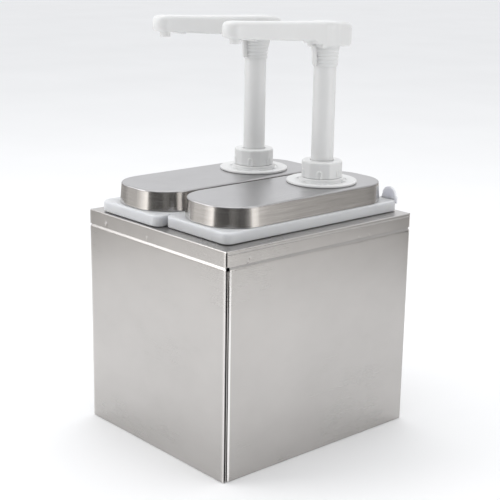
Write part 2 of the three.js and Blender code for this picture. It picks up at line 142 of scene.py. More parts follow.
def revolve(profile, centre, count, closed=True):
    # (radius, height) carried round the upright axis: (r cos a, r sin a, z)
    profile = np.asarray(profile, float)
    angles = np.linspace(0, 2 * np.pi, count, endpoint=False)
    radius, height = profile[:, :1], profile[:, 1:]
    points = np.stack([radius * np.cos(angles), radius * np.sin(angles), height + 0 * angles], -1)
    return gridShell(points + centre, closed, True)


def sector(profile, centre, start, end, count=8):
    # a closed (radius, height) profile carried round from start to end, each end shut at its middle
    profile = np.asarray(profile, float)
    angles = np.linspace(start, end, count)[None, :]
    points = np.stack([profile[:, :1] * np.cos(angles), profile[:, :1] * np.sin(angles),
                       profile[:, 1:] + 0 * angles], -1)
    ends = points.mean(0, keepdims=True)[:, [0, -1]] + 0 * points[:, :2]
    return gridShell(np.concatenate([ends[:, :1], points, ends[:, 1:]], 1) + centre, True, False)


def plate(outline, centre, across, up, thickness, rounding):
    # an outline (u, v) laid out along two directions, its two faces shut at its middle and their edges
    # quarter rounds: inset r (1 - sin a) at a depth of r (1 - cos a)
    outline = np.asarray(outline, float)
    middle = outline.mean(0)
    across, up = np.array(across, float), np.array(up, float)
    normal = np.cross(across, up)
    reach = np.linalg.norm(outline - middle, axis=1).mean()
    turns = np.linspace(0, np.pi / 2, 5)
    inset = rounding * (1 - np.sin(turns))
    depth = -thickness / 2 + rounding * (1 - np.cos(turns))
    shrink = np.r_[0, 1 - inset / reach, 1 - inset[::-1] / reach, 0]
    level = np.r_[-thickness / 2, depth, -depth[::-1], thickness / 2]
    flat = middle + shrink[:, None, None] * (outline - middle)
    points = flat[..., :1] * across + flat[..., 1:] * up + level[:, None, None] * normal
    return gridShell(points + centre, False, True)


def block(low, high, rounding):
    # a box with soft upright edges, shut at the middle of its ends
    low, high = np.array(low, float), np.array(high, float)
    half, middle = (high - low) / 2, (high + low) / 2
    outline = roundedOutline(half[0], half[1], rounding, 3, 2)
    return plate(outline, middle, (1, 0, 0), (0, 1, 0), 2 * half[2], rounding)


def tubeAlong(path, radius, count=10):
    # a round tube: each point of the path carries r (cos a up + sin a aside), two directions across it
    path = np.asarray(path, float)
    along = np.gradient(path, axis=0)
    along /= np.linalg.norm(along, axis=1, keepdims=True)
    neverAlong = [0.0, 0.6, 0.8]  # a direction that no path here takes
    aside = np.cross(along, neverAlong)
    aside /= np.linalg.norm(aside, axis=1, keepdims=True)
    up = np.cross(aside, along)
    angles = np.linspace(0, 2 * np.pi, count, endpoint=False)[None, :, None]
    radii = np.broadcast_to(radius, len(path))[:, None, None]
    ring = radii * (np.cos(angles) * up[:, None] + np.sin(angles) * aside[:, None])
    points = path[:, None] + ring
    ends = np.broadcast_to(path[[0, -1]][:, None], (2, count, 3))
    return gridShell(np.concatenate([ends[:1], points, ends[1:]]), False, True)


def makePiece(name, shells, body, material, replaced, crease=35, paintedHighlight=None):
    # joins shells into one mesh, welds points that coincide, and stores how much painted highlight each point
    # gets
    starts = np.cumsum([0] + [len(points) for points, _ in shells])
    points = np.vstack([points for points, _ in shells]) * mm
    faces = np.vstack([faces + start for (_, faces), start in zip(shells, starts)])
    data = bpy.data.meshes.new(name)
    data.vertices.add(len(points))
    data.vertices.foreach_set("co", points.astype(np.float32).ravel())
    data.loops.add(faces.size)
    data.loops.foreach_set("vertex_index", faces.astype(np.int32).ravel())
    data.polygons.add(len(faces))
    data.polygons.foreach_set("loop_start", np.arange(0, faces.size, 4, dtype=np.int32))
    data.update(calc_edges=True)
    work = bmesh.new()
    work.from_mesh(data)
    bmesh.ops.remove_doubles(work, verts=work.verts, dist=weld)
    work.to_mesh(data)
    work.free()
    # each point's share of the bright colour painted as a highlight on bends and sheet ends
    if paintedHighlight:
        place = np.empty(3 * len(data.vertices), np.float32)
        data.vertices.foreach_get("co", place)
        marks = data.attributes.new("paintedHighlight", "FLOAT", "POINT")
        marks.data.foreach_set("value", paintedHighlight(place.reshape(-1, 3) / mm).astype(np.float32))
    data.shade_smooth()
    data.set_sharp_from_angle(angle=math.radians(crease))
    data.materials.append(material)
    piece = bpy.data.objects.new(name, data)
    bpy.context.scene.collection.objects.link(piece)
    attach(piece, body)
    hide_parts(replaced)
    return piece


softEdge = {"segments": 2, "angle": 50}  # degrees: flatter edges than this stay as they are


def softEdges(piece, width):
    # rounds every sharp edge over a width
    bevel = piece.modifiers.new("softEdges", "BEVEL")
    bevel.width, bevel.segments, bevel.harden_normals = width * mm, softEdge["segments"], True
    bevel.limit_method, bevel.angle_limit = "ANGLE", math.radians(softEdge["angle"])


def sheetThickness(piece, thickness):
    # the sheet's inner face stands its thickness behind the outer one
    wall = piece.modifiers.new("sheet", "SOLIDIFY")
    wall.thickness, wall.offset, wall.use_even_offset = thickness * mm, -1, True


def addNode(tree, kind, inputs=None, **settings):
    # a shader node; each input is given a socket to be linked from, or a plain value
    made = tree.nodes.new("ShaderNode" + kind)
    for key, value in settings.items():
        setattr(made, key, value)
    for key, value in (inputs or {}).items():
        if isinstance(value, bpy.types.NodeSocket):
            tree.links.new(value, made.inputs[key])
        else:
            made.inputs[key].default_value = value
    return made


def newMaterial(name, **sockets):
    # a Principled material; an underscore in a socket's name stands for a space
    material = bpy.data.materials.new(name)
    material.use_nodes = True
    shader = material.node_tree.nodes["Principled BSDF"]
    for key, value in sockets.items():
        shader.inputs[key.replace("_", " ")].default_value = value
    return material, material.node_tree, shader


def noiseOf(tree, stretch, detail, roughness, shift=(0, 0, 0)):
    # noise of the object's own coordinates, stretched along each axis (cells per metre)
    place = addNode(tree, "TexCoord").outputs["Object"]
    mapping = addNode(tree, "Mapping", {"Vector": place, "Scale": stretch, "Location": shift})
    inputs = {"Vector": mapping.outputs[0], "Scale": 1, "Detail": detail, "Roughness": roughness}
    return addNode(tree, "TexNoise", inputs).outputs[0]


def remap(tree, value, fromLow, fromHigh, toLow, toHigh):
    # straight-line change of range, held at its ends
    inputs = {"Value": value, 1: fromLow, 2: fromHigh, 3: toLow, 4: toHigh}
    return addNode(tree, "MapRange", inputs).outputs[0]


noiseSpan = (0.3, 0.7)  # nearly all of a noise's values lie between these


def spread(tree, noise, low, high):
    # a noise's span carried to low and high
    return remap(tree, noise, *noiseSpan, low, high)


def mixColours(tree, factor, first, second):
    # first (1 - factor) + second factor, for each channel
    made = addNode(tree, "Mix", data_type="RGBA")
    tree.links.new(factor, made.inputs[0])
    made.inputs[6].default_value, made.inputs[7].default_value = (*first, 1), (*second, 1)
    return made.outputs[2]


def maths(tree, operation, first, second):
    # one sum on two values
    return addNode(tree, "Math", {0: first, 1: second}, operation=operation).outputs[0]


bumpDepth = {"steel": 0.0002, "plastic": 0.0001}  # metres


def bumpOf(tree, shader, height, strength, distance):
    # the surface is shaded as if the height, times the distance, stood on it
    inputs = {"Height": height, "Strength": strength, "Distance": distance}
    tree.links.new(addNode(tree, "Bump", inputs).outputs[0], shader.inputs["Normal"])


def steelMaterial(name, finish):
    # rolled sheet: long fine grain, faint cloudy patches in tone and polish, and a bright colour painted as a
    # highlight where a piece's points are marked
    material, tree, shader = newMaterial(name, Metallic=1)
    grain = noiseOf(tree, finish["grain"], 2, 0.7)
    clouds = noiseOf(tree, finish["clouds"], 4, 0.6, (3, 1, 2))
    toneBeforeHighlight = mixColours(tree, spread(tree, clouds, 0, 1), *finish["tones"])
    # painted highlight: the bright colour is mixed in by each point's mark
    colour = addNode(tree, "Mix", {6: toneBeforeHighlight, 7: (*finish["paintedHighlight"], 1)}, data_type="RGBA")
    tree.links.new(addNode(tree, "Attribute", attribute_name="paintedHighlight").outputs["Fac"], colour.inputs[0])
    tree.links.new(colour.outputs[2], shader.inputs["Base Color"])
    grainy = finish["grainPolish"]
    polish = maths(tree, "ADD", spread(tree, clouds, *finish["polish"]), spread(tree, grain, -grainy, grainy))
    tree.links.new(polish, shader.inputs["Roughness"])
    bumpOf(tree, shader, grain, finish["bump"], bumpDepth["steel"])
    return material


def lidMaterial(name, finish):
    # the deck is brushed along the lid, the skirt round it: a mask that climbs from 0 to 1 with height
    # changes from one grain to the other, and from the skirt's tones to the deck's darker ones, which are
    # painted shade
    material, tree, shader = newMaterial(name, Metallic=1)
    deckGrain = noiseOf(tree, finish["deckGrain"], 2, 0.7)
    skirtGrain = noiseOf(tree, finish["skirtGrain"], 3, 0.7)
    smudge = noiseOf(tree, finish["smudge"], 3, 0.6, (1, 4, 2))
    place = addNode(tree, "TexCoord").outputs["Object"]
    height = addNode(tree, "SeparateXYZ", {0: place}).outputs[2]
    mask = remap(tree, height, *finish["change"], 0, 1)
    blend = addNode(tree, "Mix", {0: mask, 2: skirtGrain, 3: deckGrain}, data_type="FLOAT").outputs[0]
    rough = addNode(tree, "Mix", {0: mask, 2: finish["skirtPolish"], 3: finish["deckPolish"]},
                    data_type="FLOAT").outputs[0]
    grainy = finish["grainPolish"]
    polish = maths(tree, "ADD", rough, spread(tree, blend, -grainy, grainy))
    dulled = maths(tree, "ADD", polish, remap(tree, smudge, *finish["smudgeSpan"], 0, finish["smudgePolish"]))
    tree.links.new(dulled, shader.inputs["Roughness"])
    streak = spread(tree, blend, 0, 1)
    # the deck's tones are darker than the skirt's: painted shade on the lid's top
    tones = {0: mask, 6: mixColours(tree, streak, *finish["skirtTones"]),
             7: mixColours(tree, streak, *finish["deckTonesWithPaintedShade"])}
    colour = addNode(tree, "Mix", tones, data_type="RGBA").outputs[2]
    tree.links.new(colour, shader.inputs["Base Color"])
    bumpOf(tree, shader, blend, finish["bump"], bumpDepth["steel"])
    return material


def plasticMaterial(name, finish):
    # moulded plastic: nearly even tone, faint flow patches, a fine orange-peel surface
    material, tree, shader = newMaterial(name, Subsurface_Weight=finish["glow"],
                                         Subsurface_Radius=finish["glowReach"],
                                         Subsurface_Scale=moulding["glowDepth"])
    flow = noiseOf(tree, moulding["flow"], 3, 0.5)
    peel = noiseOf(tree, moulding["peel"], 2, 0.5)
    tone = mixColours(tree, spread(tree, flow, 0, 1), *finish["tones"])
    tree.links.new(tone, shader.inputs["Base Color"])
    tree.links.new(spread(tree, flow, *finish["polish"]), shader.inputs["Roughness"])
    bumpOf(tree, shader, peel, finish["bump"], bumpDepth["plastic"])
    return material


# grain, clouds, flow marks and peel in cells per metre; polish is roughness; the highlight colour is a bright
# colour painted on bends and sheet ends;
# change: the heights, in metres, between which a lid's grain turns and the deck's darker tones, painted
# shade, begin; glow: light that goes into plastic
moulding = {"flow": (14, 14, 22), "peel": (900, 900, 900), "glowDepth": 0.01}
finishes = {
    "housing": {"grain": (16, 16, 2600), "clouds": (7, 7, 10),
                "tones": ((0.475, 0.46, 0.446), (0.535, 0.518, 0.503)), "paintedHighlight": (0.92, 0.9, 0.88),
                "polish": (0.26, 0.32), "grainPolish": 0.012, "bump": 0.02},
    "lid": {"deckGrain": (1800, 12, 12), "skirtGrain": (25, 25, 1400), "smudge": (30, 30, 60),
            "change": (0.2668, 0.2688), "skirtTones": ((0.56, 0.545, 0.53), (0.66, 0.645, 0.63)),
            # the deck's tones are darker than the skirt's: painted shade on the lid's top
            "deckTonesWithPaintedShade": ((0.4, 0.394, 0.397), (0.46, 0.453, 0.456)), "skirtPolish": 0.17, "deckPolish": 0.3,
            "grainPolish": 0.04, "smudgeSpan": (0.35, 0.7), "smudgePolish": 0.05, "bump": 0.12},
    "jar": {"tones": ((0.61, 0.618, 0.642), (0.65, 0.658, 0.678)), "polish": (0.42, 0.5), "bump": 0.06,
            "glow": 0.75, "glowReach": (0.9, 0.9, 1.0)},
    "pump": {"tones": ((0.71, 0.71, 0.703), (0.75, 0.75, 0.743)), "polish": (0.33, 0.4), "bump": 0.05,
             "glow": 0.12, "glowReach": (0.6, 0.55, 0.5)},
    "seal": {"tones": ((0.02, 0.02, 0.02), (0.035, 0.035, 0.036)), "polish": (0.6, 0.75), "bump": 0.2,
             "glow": 0, "glowReach": (0.1, 0.1, 0.1)},
    "inner": {"grain": (600, 600, 600), "clouds": (60, 60, 60), "paintedHighlight": (0.9, 0.9, 0.9),
              "tones": ((0.5, 0.49, 0.48), (0.6, 0.59, 0.58)), "polish": (0.18, 0.26), "grainPolish": 0.02,
              "bump": 0.05},
}
housingSteel = steelMaterial("housingSteel", finishes["housing"])
innerSteel = steelMaterial("innerSteel", finishes["inner"])
lidSteel = lidMaterial("lidSteel", finishes["lid"])
jarPlastic = plasticMaterial("jarPlastic", finishes["jar"])
pumpPlastic = plasticMaterial("pumpPlastic", finishes["pump"])
sealRubber = plasticMaterial("sealRubber", finishes["seal"])
print("materials made")

# step: where a panel goes in under the frame; head: the part behind the frame's flap; dart: how much narrower
# an end panel's head is; wave: how far a face is hollowed
housing = {"sheet": 1, "stepIn": 1.4, "stepRise": 3, "frameGap": 0.3, "headDrop": 1.3, "bend": 0.8,
           "spacing": 9, "dart": 1.2, "wave": 0.3, "waveLength": 95, "waveHeight": 60, "flatEnd": 4,
           "endColumns": 61, "endEdge": 0.25, "sideColumns": 49, "sideSheet": 0.8, "sideEdge": 0.2,
           "headColumns": 40, "headLap": 2}
frontLean = (1.07, 0.33)  # width of a front edge's last strip and how far it leans in
sideLean = (1.6, 0.36)
stripStations = {"blend": 0.08, "between": (0.5, 0.15)}  # round a strip's beginning, and in from its end
frontHalf = faceX - 0.7  # front and rear sheets stop short of the corner
paintedHighlightEdge = (2.2, 0.5)  # where a front sheet's painted highlight begins and peaks, in from its edge
stepTop = flapFoot - housing["frameGap"]
stepFoot = stepTop - housing["stepRise"]


def hollow(along, height, length):
    # how far a large face draws in between its edges: wave (1 - (u / length)^4) sin^2(pi height / step),
    # times 0.6 and 0.4 of a slow sine wave that slants up the face
    fade = np.clip(1 - (along / length) ** 4, 0, 1) * np.sin(np.pi * np.clip(height / stepFoot, 0, 1)) ** 2
    slant = np.sin(along / housing["waveLength"] * 2 + height / housing["waveHeight"])
    return housing["wave"] * fade * (0.6 + 0.4 * slant)


def panelProfile():
    # (inset, height): up the face, in under the frame's flap, and on behind it
    inset = housing["stepIn"]
    path = [(0, 0), (0, stepFoot), (inset, stepTop), (inset, deckTop - housing["headDrop"])]
    return densify(softPath(path, housing["bend"]), housing["spacing"])


def lean(along, half, strip):
    # how far in a sheet's last strip stands: depth * (|u| - (half - width)) / width, and nothing before it
    width, depth = strip
    return depth * np.clip((np.abs(along) - half + width) / width, 0, 1)


def leanStations(half, strip):
    # two close stations where each end's strip begins, two on it, and its end
    width, blend = strip[0], stripStations["blend"]
    ends = half - np.array([width + blend, width - blend, *stripStations["between"], 0])
    return np.r_[-ends, ends]


def paintedHighlightEnds(points):
    # painted highlight towards both ends of a front sheet: rises with the square of x to its peak, then falls
    # away
    begin, peak = paintedHighlightEdge
    fromEdge = frontHalf - np.abs(points[:, 0])
    rise = np.clip((begin - fromEdge) / (begin - peak), 0, 1) ** 2
    return rise * np.clip(fromEdge / peak, 0, 1) * (points[:, 1] < housing["sheet"] - faceY)


def makeEndPanel(name, turn):
    # the panel's profile carried across, narrowing behind the frame: y = -face + inset + hollow + lean
    profile = panelProfile()
    inset, height = profile[:, :1], profile[:, 1:]
    even = np.linspace(-frontHalf, frontHalf, housing["endColumns"])
    across = np.unique(np.r_[even, leanStations(frontHalf, frontLean)])[None, :]
    dart = np.clip((height - stepFoot) / housing["stepRise"], 0, 1) * housing["dart"]
    x = across * (1 - dart / faceX)
    y = -faceY + inset + hollow(x, height, faceX - housing["flatEnd"]) + lean(across, frontHalf, frontLean)
    # the sheet's ends get a painted highlight
    piece = makePiece(name, [gridShell(np.stack([turn * x, turn * y, height + 0 * x], -1))],
                      "housing", housingSteel, name, paintedHighlight=paintedHighlightEnds)
    sheetThickness(piece, housing["sheet"])
    softEdges(piece, housing["endEdge"])


makeEndPanel("front_panel", 1)
makeEndPanel("rear_panel", -1)

# each side panel's upright ends, (inset, along): a fold behind the front panel, a plain bend at the rear
frontFold = ((9, -125), (0.9, -125), (0.5, -124.7), (0, -122.9), (0, -118))
frontRounds = (0.4, 0.4, 0.15)
rearBend = ((0, 120), (0, 127.8), (9, 127.8))
rearRound = 0.5
headRun = (-124.9, 127.3)
paintedHighlightStrip = {"after": 0.1, "inset": 0.8}  # painted highlight from just before the fold's bend, on its outside
hem = {"x": (-8, -0.7), "y": (-127.2, -126.3), "low": 0.2, "below": 1, "round": 0.12, "softEdge": 0.08}
# low and high are below the deck, inset is from the face; the run swings to and fro, swells a little faster,
# and thins over its last steps
bead = {"low": 29, "high": 19.5, "inset": 0.85, "along": -125.3, "radius": 0.62, "wiggle": 0.28, "turns": 5.5,
        "count": 60, "swell": 0.25, "swellRate": 1.3, "mean": 0.8, "thinning": 5, "thinnest": 0.2}


def makeSidePanel(name, turn):
    # the plan carried up to the step, x = face - inset - hollow; above it the profile carried along
    front, rear = softPath(frontFold, frontRounds, 6), softPath(rearBend, rearRound, 6)
    count, flatEnd = housing["sideColumns"], housing["flatEnd"]
    along = np.linspace(front[-1, 1] + flatEnd, rear[0, 1] - flatEnd, count)
    flat = np.column_stack([np.zeros(count), along])
    plan = np.vstack([front, flat, rear])
    upright = densify([(0, 0), (stepFoot - housing["frameGap"], 0)], housing["spacing"])[:, :1]
    x = faceX - plan[:, 0] - hollow(plan[:, 1], upright, faceY - 2 * flatEnd)
    wall = np.stack([x, plan[:, 1] + 0 * x, upright + 0 * x], -1)
    profile = panelProfile()
    profile = profile[profile[:, 1] > stepFoot - housing["headLap"]]
    along = np.linspace(*headRun, housing["headColumns"])[None, :]
    upper = np.stack([faceX - profile[:, :1] + 0 * along, along + 0 * profile[:, :1],
                      profile[:, 1:] + 0 * along], -1)
    shells = [sided(gridShell(wall), turn), sided(gridShell(upper), turn)]
    # the front bend gets a painted highlight
    piece = makePiece(name, shells, "housing", housingSteel, name, paintedHighlight=paintedHighlightBend)
    sheetThickness(piece, housing["sideSheet"])
    softEdges(piece, housing["sideEdge"])
    makeHem(name, turn)


def paintedHighlightBend(points):
    # painted highlight on the outside of a side panel's front bend, over the strip that leans in
    along, inset = points[:, 1], faceX - np.abs(points[:, 0])
    onStrip = (along < frontFold[3][1] - paintedHighlightStrip["after"]) & (inset < paintedHighlightStrip["inset"])
    return (onStrip & (points[:, 2] < stepFoot)) * 1.0


def sided(shell, turn):
    # as it is on the right; on the left mirrored across x, with each face's order turned round
    points, faces = shell
    return (points * [turn, 1, 1], faces[:, ::turn])


def makeHem(name, turn):
    # the lip standing in the corner slit, and the weld bead under the frame: a tube whose place goes with
    # sin(phase) and whose radius goes with mean + swell sin(rate phase + 1)
    (x0, x1), (y0, y1) = hem["x"], hem["y"]
    lip = block((faceX + x0, y0, hem["low"]), (faceX + x1, y1, stepFoot - hem["below"]), hem["round"])
    step = np.arange(bead["count"])
    phase = 2 * np.pi * bead["turns"] * step / bead["count"]
    swing = bead["wiggle"] * np.sin(phase)
    heights = deckTop - np.linspace(bead["low"], bead["high"], bead["count"])
    path = np.column_stack([faceX - bead["inset"] + 0 * swing, bead["along"] - swing, heights])
    swollen = bead["radius"] * (bead["mean"] + bead["swell"] * np.sin(phase * bead["swellRate"] + 1))
    size = swollen * np.clip((bead["count"] - step) / bead["thinning"], bead["thinnest"], 1)
    made = makePiece(name + "_hem", [sided(lip, turn), sided(tubeAlong(path, size), turn)],
                     "housing", housingSteel, name)
    softEdges(made, hem["softEdge"])


makeSidePanel("right_panel", 1)
makeSidePanel("left_panel", -1)

# opening: half width, half length and corner radius; groove: how deep, and the depths where it runs
rim = {"endInset": 2, "sideInset": 4.4, "lip": 7, "lipBend": 1.2, "lipReach": 6, "opening": (92.5, 110, 4),
       "groove": 0.5, "grooveRun": (2.9, 3.5, 4.3), "grooveRounds": (0.25, 0.4, 0.3), "shoulder": 1.5,
       "spacing": 0.9, "stations": 71, "markReach": 3, "markStations": 13, "cornerPoints": 7, "softEdge": 0.2}
# marks left by handling: (along, height below the deck, spread, depth)
frontMarks = (
    (-82.6, 11, 1.6, 0.75), (-10.4, 11.5, 1.1, 0.5), (-10.4, 13.8, 1.0, 0.4), (52.9, 14.6, 0.7, 0.5),
    (80.6, 14.4, 0.7, 0.5), (20, 14.8, 0.8, 0.25))
sideMarks = (
    (-102.5, 14.4, 0.7, 0.6), (-100.1, 10.5, 0.8, 0.35), (49.6, 14.2, 0.8, 0.45), (65.3, 14, 0.8, 0.45),
    (8.9, 7.8, 0.6, 0.3))


def dents(along, depth, marks):
    # a bell-shaped dent at each mark: depth * exp(-(distance / spread)^2)
    return sum(deep * np.exp(-((along - a) ** 2 + (depth - d) ** 2) / spread ** 2)
               for a, d, spread, deep in marks)


def flap(reach, profile, marks, stations, strip):
    # an (inset, -depth) profile carried along an edge, marks pressed in; below the shoulder the strip at
    # each end leans in
    half = stations.max()
    inset, level = profile[:, :1], profile[:, 1:]
    below = np.clip(-level / rim["shoulder"], 0, 1)
    along = stations[None, :] + 0 * inset
    out = reach - inset - below * lean(stations[None, :], half, strip)
    return out - dents(along, -level, marks) * (below == 1), along, deckTop + level + 0 * along


def edgeStations(half, inner, marks, strip):
    # places along an edge: even ones, close ones round each mark, and the ends' strips
    close = np.linspace(-rim["markReach"], rim["markReach"], rim["markStations"])
    near = np.concatenate([a + close for a, *_ in marks])
    even = np.linspace(-inner, inner, rim["stations"])
    places = np.r_[even, near, -half, half, -inner, inner, leanStations(half, strip)]
    return np.unique(np.round(places, 2))


def makeTopFrame():
    # four flaps, each a profile carried along its edge, and the deck: straight lines from the rectangle
    # they leave to the rounded opening, then down the opening's lip
    flapEnd = flapFoot - deckTop
    endInset, sideInset = rim["endInset"], rim["sideInset"]
    endProfile = densify(softPath([(endInset, 0), (0, 0), (0, flapEnd)], endInset, 7), rim["spacing"])
    above, bottom, below = rim["grooveRun"]
    sideProfile = [(sideInset, 0), (0, 0), (0, -above), (rim["groove"], -bottom), (0, -below), (0, flapEnd)]
    sideProfile = densify(softPath(sideProfile, [sideInset, *rim["grooveRounds"]], 7), rim["spacing"])
    innerX, innerY = faceX - sideInset, faceY - endInset
    xs = edgeStations(frontHalf, innerX, frontMarks, frontLean)
    ys = edgeStations(innerY, innerY, sideMarks, sideLean)
    shells = []
    out, x, z = flap(faceY, endProfile, frontMarks, xs, frontLean)
    shells.append(gridShell(np.stack([x, -out, z], -1)[::-1]))
    out, x, z = flap(faceY, endProfile, (), xs, frontLean)
    shells.append(gridShell(np.stack([x, out, z], -1)[::-1, ::-1]))
    out, y, z = flap(faceX, sideProfile, sideMarks, ys, sideLean)
    shells.append(gridShell(np.stack([out, y, z], -1)[::-1]))
    out, y, z = flap(faceX, sideProfile, (), ys, sideLean)
    shells.append(gridShell(np.stack([-out, y, z], -1)[::-1, ::-1]))
    # the deck's outer rectangle has the flaps' own stations, and each corner as often as the opening's arcs
    insideX, insideY = xs[np.abs(xs) <= innerX + tiny], ys
    arc = rim["cornerPoints"]
    alongX, alongY = np.full(len(insideX), innerY), np.full(len(insideY), innerX)
    corner = np.tile([innerX, innerY], (arc, 1))
    outer = np.vstack([
        np.column_stack([alongY, insideY]), corner,
        np.column_stack([insideX[::-1], alongX]), corner * [-1, 1],
        np.column_stack([-alongY, insideY[::-1]]), -corner,
        np.column_stack([insideX, -alongX]), corner * [1, -1],
    ])

    def ring(grow):
        # the opening's outline, grown, with the same number of points on each side and corner
        a, b, r = rim["opening"]
        a, b, r = a + grow, b + grow, r + grow
        turns = np.linspace(0, np.pi / 2, arc)
        bow = r * np.stack([np.cos(turns), np.sin(turns)], -1)
        sx, sy = insideX / innerX * (a - r), insideY / innerY * (b - r)
        return np.vstack([
            np.column_stack([np.full(len(sy), a), sy]), [a - r, b - r] + bow,
            np.column_stack([sx[::-1], np.full(len(sx), b)]), [r - a, b - r] + bow[::-1] * [-1, 1],
            np.column_stack([np.full(len(sy), -a), sy[::-1]]), [r - a, r - b] - bow,
            np.column_stack([sx, np.full(len(sx), -b)]), [a - r, r - b] + bow[::-1] * [1, -1],
        ])

    lipProfile = softPath([(rim["lipReach"], 0), (0, 0), (0, -rim["lip"])], rim["lipBend"], 6)
    rows = [np.column_stack([outer, np.zeros(len(outer))])]
    rows += [np.column_stack([ring(grow), np.full(len(outer), level)]) for grow, level in lipProfile]
    shells.append(gridShell(np.stack(rows) + [0, 0, deckTop], False, True))
    # the front flap's ends get a painted highlight too
    piece = makePiece("top_frame", shells, "housing", housingSteel, "top_frame",
                      paintedHighlight=paintedHighlightEnds)
    sheetThickness(piece, housing["sheet"])
    softEdges(piece, rim["softEdge"])


makeTopFrame()
print("housing made")

# body, collar, neck: half width, half length, corner radius; heels at the floor: (inset, less radius, rise)
jar = {"body": (42, 103.5, 20), "depth": 185, "wall": 2.5, "collar": (48.25, 121.5, 8), "neck": (42, 111, 34),
       "lift": 0.8, "shoulder": 12.2, "neckTop": 20, "outerHeel": ((8, 4, 0), (3.5, 1, 4.5)),
       "innerHeel": ((6, 4, 4.5), (10, 6, 0)), "outerRounds": (3, 4, 1, 0.8, 3.2, 2),
       "innerRounds": (0.8, 1, 1.5, 1, 2, 4, 3), "spacing": 14}
lug = {"width": 22, "top": 25.5, "thick": 3.4, "crown": 9, "tuck": 0.6, "root": 4, "straight": 2,
       "slope": 5, "setIn": 0.3, "round": 1.1, "spacing": 2, "crownSteps": 21, "crownEnd": 0.02}


def makeJar(side):
    # rounded rectangles at heights: up the outside, over the neck and down the inside, both floors shut at
    # the middle; the lug is a plate with a round crown: middle + crown (cos a, sin a)
    centre = middleOf(side + "_lid")
    base, wall = -jar["depth"], jar["wall"]
    a, b, r = jar["body"]
    c, d, q = jar["collar"]
    e, f, n = jar["neck"]
    lift, shoulder, top = jar["lift"], jar["shoulder"], jar["neckTop"]
    outerHeel = [(a - i, b - i, r - less, base + rise) for i, less, rise in jar["outerHeel"]]
    innerHeel = [(a - i, b - i, r - less, base + rise + wall) for i, less, rise in jar["innerHeel"]]
    outside = softPath([
        (0, 0, 0, base), *outerHeel, (a, b, r, lift), (c, d, q, lift), (c, d, q, shoulder),
        (e, f, n, shoulder), (e, f, n, top),
    ], jar["outerRounds"])
    inside = softPath([
        (e, f, n, top), (e - wall, f - wall, n - wall, top), (e - wall, f - wall, n - wall, shoulder - wall),
        (c - wall, d - wall, q - wall, shoulder - wall), (c - wall, d - wall, q - wall, lift + wall),
        (a - wall, b - wall, r - wall, lift + wall), *innerHeel, (0, 0, 0, base + wall),
    ], jar["innerRounds"])
    stations = densify(np.vstack([outside, inside[1:]]), jar["spacing"])
    shells = [gridShell(stationRows(stations, centre, 12, 10), False, True)]
    near = c - lug["tuck"]
    far, middle = near - lug["width"], near - lug["width"] / 2
    root, crown = shoulder - lug["root"], lug["top"] - lug["crown"]
    turns = np.linspace(lug["crownEnd"], np.pi - lug["crownEnd"], lug["crownSteps"])
    arch = np.stack([middle + lug["crown"] * np.cos(turns), crown + lug["crown"] * np.sin(turns)], -1)
    outline = np.vstack([[near, root], [near, crown - lug["straight"]], arch, [far, crown - lug["slope"]],
                         [far, root], [near, root]])
    outline = densify(outline, lug["spacing"])[:-1]
    back = d - lug["thick"] / 2 - lug["setIn"]
    shells.append(plate(outline, centre + [0, back, 0], (1, 0, 0), (0, 0, 1), lug["thick"], lug["round"]))
    makePiece(side + "_jar", shells, side + "_jar", jarPlastic, side + "_jar", 50)


# outline: half width, half length, corner radius; skirt and inner: (inset, height) from the foot or the deck,
# outside and inside the sheet
lid = {"outline": (47, 116.5, 39), "foot": 12.7, "deck": 33.4, "sheet": 1, "hole": 17.6,
       "skirtFoot": ((0, 0), (0.15, 1.5)), "skirtTop": ((1.5, -3), (1.7, 0), (7, 0)), "rounds": (0.5, 1, 2.6),
       "innerTop": ((8, 0), (3.4, 0), (2.7, -1.4)), "innerFoot": ((1.2, 2.2), (0.9, 0)), "spacing": 1.6,
       "holeSteps": 12}


def makeLid(side):
    # rounded rectangles up the skirt and round the shoulder, the deck's lines to the hole, and back inside
    centre = middleOf(side + "_lid")
    axis = middleOf(side + "_pump_stem")[:2] - centre[:2]
    a, b, r = lid["outline"]
    foot, deck, sheet = lid["foot"], lid["deck"], lid["sheet"]
    skirt = [(i, foot + z) for i, z in lid["skirtFoot"]] + [(i, deck + z) for i, z in lid["skirtTop"]]
    skirt = densify(softPath(skirt, lid["rounds"], 7), lid["spacing"])
    inner = [(i, deck - sheet + z) for i, z in lid["innerTop"]] + [(i, foot + z) for i, z in lid["innerFoot"]]
    top = stationRows([(a - i, b - i, r - i, z) for i, z in skirt], centre, 16, 14)
    under = stationRows([(a - i, b - i, r - i, z) for i, z in inner], centre, 16, 14)

    def toHole(edge, level, steps):
        # straight lines edge (1 - t) + circle t, each in its own direction from the pump's axis
        away = edge[:, :2] - centre[:2] - axis
        angle = np.arctan2(away[:, 1], away[:, 0])
        circle = centre[:2] + axis + lid["hole"] * np.stack([np.cos(angle), np.sin(angle)], -1)
        t = steps[:, None, None]
        flat = edge[None, :, :2] * (1 - t) + circle[None] * t
        return np.concatenate([flat, np.full(flat.shape[:2] + (1,), deckTop + level)], -1)

    steps = np.linspace(0, 1, lid["holeSteps"])
    deckRows = toHole(top[-1], deck, steps[1:])
    underRows = toHole(under[0], deck - sheet, steps[:0:-1])
    rows = np.concatenate([top, deckRows, underRows, under])
    makePiece(side + "_lid", [gridShell(rows, True, True)], side + "_lid_and_pump", lidSteel,
              side + "_lid", 40)


for side in sides:
    makeJar(side)
    makeLid(side)
print("jars and lids made")

